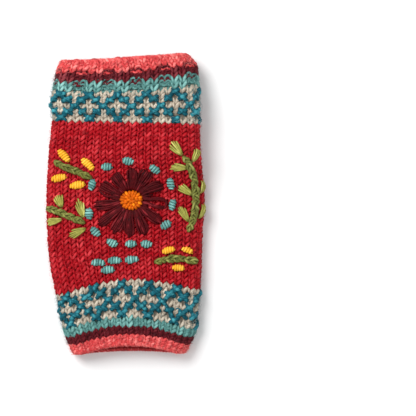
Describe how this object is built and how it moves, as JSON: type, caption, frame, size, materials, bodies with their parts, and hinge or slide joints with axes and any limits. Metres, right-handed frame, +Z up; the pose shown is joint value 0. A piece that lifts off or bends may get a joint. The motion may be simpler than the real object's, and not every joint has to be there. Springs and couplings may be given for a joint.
{
  "type": "knitted hand warmer",
  "caption": "Knitted wool hand warmer for a left hand, lying palm down: a flat open tube with ribbed, striped and patterned ends, a thumb sleeve folded beneath and raised floral embroidery",
  "frame": {"origin": "under the middle of the object's box, on the surface that it lies on", "axes": "+X across the hand towards the thumb side, +Y from the wrist to the fingers, +Z up out of the back of the hand"},
  "size_m": [0.1016, 0.19, 0.0235],
  "materials": {
    "red_yarn": "woollen yarn in stocking stitch",
    "coral_yarn": "woollen yarn in ribbing",
    "maroon_yarn": "woollen yarn in ribbing",
    "aqua_yarn": "woollen yarn in ribbing",
    "patterned_yarn": "teal purl bumps on natural wool stitches",
    "petal_yarn": "woollen yarn in long loops",
    "orange_yarn": "woollen yarn in short dense stitches",
    "knot_yarn": "wrapped woollen yarn",
    "yellow_yarn": "wrapped woollen yarn",
    "stem_yarn": "woollen yarn in chain stitch",
    "leaf_yarn": "woollen yarn in flat stitches"
  },
  "bodies": {
    "root": {"bar_bud_1": "yellow_yarn", "bar_bud_2": "yellow_yarn", "bar_bud_3": "yellow_yarn", "bar_stem": "stem_yarn", "bud_spray_bud_1": "yellow_yarn", "bud_spray_bud_2": "yellow_yarn", "bud_spray_bud_3": "yellow_yarn", "bud_spray_bud_4": "yellow_yarn", "bud_spray_stem": "stem_yarn", "finger_band": "patterned_yarn", "finger_rim": "coral_yarn", "finger_stripe_aqua": "aqua_yarn", "finger_stripe_maroon": "maroon_yarn", "flower_centre": "orange_yarn", "flower_petals": "petal_yarn", "hand_tube": "red_yarn", "leaf_spray_leaf_1": "leaf_yarn", "leaf_spray_leaf_2": "leaf_yarn", "leaf_spray_leaf_3": "leaf_yarn", "leaf_spray_leaf_4": "leaf_yarn", "leaf_spray_stem": "stem_yarn", "loose_knot_1": "knot_yarn", "loose_knot_2": "knot_yarn", "loose_knot_3": "knot_yarn", "loose_knot_4": "knot_yarn", "ring_knot_01": "knot_yarn", "ring_knot_02": "knot_yarn", "ring_knot_03": "knot_yarn", "ring_knot_04": "knot_yarn", "ring_knot_05": "knot_yarn", "ring_knot_06": "knot_yarn", "ring_knot_07": "knot_yarn", "ring_knot_08": "knot_yarn", "ring_knot_09": "knot_yarn", "ring_knot_10": "knot_yarn", "ring_knot_11": "knot_yarn", "ring_knot_12": "knot_yarn", "thumb_rim": "red_yarn", "thumb_sleeve": "red_yarn", "vine_leaf_1": "leaf_yarn", "vine_leaf_2": "leaf_yarn", "vine_leaf_3": "leaf_yarn", "vine_leaf_4": "leaf_yarn", "vine_leaf_5": "leaf_yarn", "vine_leaf_6": "leaf_yarn", "vine_leaf_7": "leaf_yarn", "vine_stem": "stem_yarn", "wrist_band": "patterned_yarn", "wrist_rim": "coral_yarn", "wrist_stripe_aqua": "aqua_yarn", "wrist_stripe_maroon": "maroon_yarn"}
  },
  "joints": []
}
